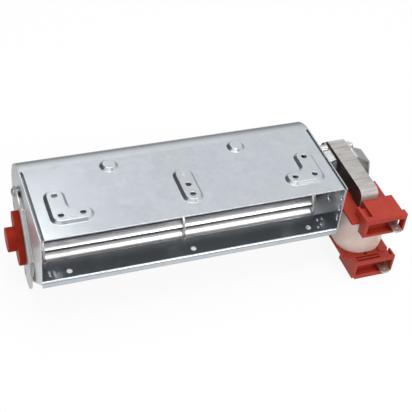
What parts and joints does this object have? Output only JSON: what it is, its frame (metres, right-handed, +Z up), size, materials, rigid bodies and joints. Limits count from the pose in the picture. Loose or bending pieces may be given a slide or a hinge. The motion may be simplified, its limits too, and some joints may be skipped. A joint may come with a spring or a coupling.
{
  "type": "cross flow fan",
  "caption": "Cross flow fan: folded sheet housing with raised mounting pads, long bladed drum wheel on end bearings and a side shaded pole motor with spade terminals.",
  "frame": {"origin": "centre of the four corner mounting holes, in the plane of the raised pads' tops", "axes": "+X along the fan axis towards the motor, +Y from the outlet to the back, +Z up out of the mounting pads"},
  "size_m": [0.2546, 0.1094, 0.0768],
  "materials": {
    "galvanised_sheet": "satin galvanised, soft spangle",
    "zinc_steel": "satin zinc plate",
    "ground_steel": "ground",
    "spring_steel": "satin",
    "lamination_steel": "satin, dark faces and pale edges",
    "tinned_steel": "bright tin",
    "wheel_aluminium": "bright rolled sheet",
    "cast_aluminium": "as cast",
    "sintered_bronze": "satin",
    "copper": "enamelled",
    "red_plastic": "satin moulded",
    "hub_plastic": "satin moulded",
    "coil_tape": "semi-matt film tape"
  },
  "bodies": {
    "housing": {"scroll_housing": "galvanised_sheet", "outlet_floor": "galvanised_sheet", "left_end_plate": "galvanised_sheet", "right_end_plate": "galvanised_sheet", "bearing_bridge": "zinc_steel", "bridge_rivets": "zinc_steel", "bearing_holder": "red_plastic", "left_bush": "sintered_bronze", "stator_stack": "lamination_steel", "coil_core": "lamination_steel", "shading_rings": "copper", "bobbin": "red_plastic", "coil_winding": "copper", "coil_tape": "coil_tape", "upper_terminal": "tinned_steel", "lower_terminal": "tinned_steel", "inner_bracket": "zinc_steel", "outer_bracket": "zinc_steel", "inner_ball_bearing": "sintered_bronze", "outer_ball_bearing": "sintered_bronze", "ball_clips": "spring_steel", "motor_bolts": "zinc_steel", "motor_nuts": "zinc_steel", "motor_spacers": "zinc_steel"},
    "rotor": {"impeller": "wheel_aluminium", "left_stub_shaft": "ground_steel", "drive_hub": "hub_plastic", "rotor_shaft": "ground_steel", "rotor_core": "lamination_steel", "rotor_cage": "cast_aluminium", "rotor_sleeves": "ground_steel"}
  },
  "joints": [
    {"name": "fan_spin", "type": "hinge", "parent": "housing", "child": "rotor", "pos_m": [0, 0.0225, -0.0438], "axis": [1, 0, 0], "continuous": true}
  ]
}
